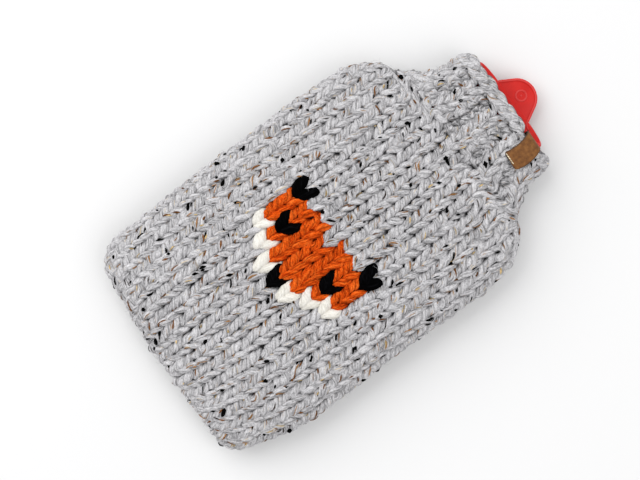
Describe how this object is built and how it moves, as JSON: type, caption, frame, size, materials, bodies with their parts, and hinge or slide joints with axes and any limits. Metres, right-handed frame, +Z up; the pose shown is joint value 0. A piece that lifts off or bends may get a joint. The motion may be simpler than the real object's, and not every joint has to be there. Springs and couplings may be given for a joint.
{
  "type": "knitted hot water bottle cover with the rubber bottle in it",
  "caption": "Flat knitted bag with a ribbed collar, fitted over a rubber hot water bottle, lying on its back.",
  "frame": {"origin": "on the surface the cover lies on, under the middle of the whole length and width", "axes": "+Z up from the surface, +Y from the closed bottom to the bottle's hanging tab, +X to the side of the collar with the label"},
  "size_m": [0.2115, 0.3674, 0.044],
  "materials": {
    "tweed_yarn": "thick soft tweed yarn, matt",
    "orange_yarn": "thick soft yarn, matt",
    "black_yarn": "thick soft yarn, matt",
    "white_yarn": "thick soft yarn, matt",
    "tan_leather": "smooth grain with dark edges",
    "red_rubber": "satin moulded rubber"
  },
  "bodies": {
    "root": {"knitted_cover": "tweed_yarn", "leather_label": "tan_leather", "rubber_bottle": "red_rubber"}
  },
  "joints": []
}
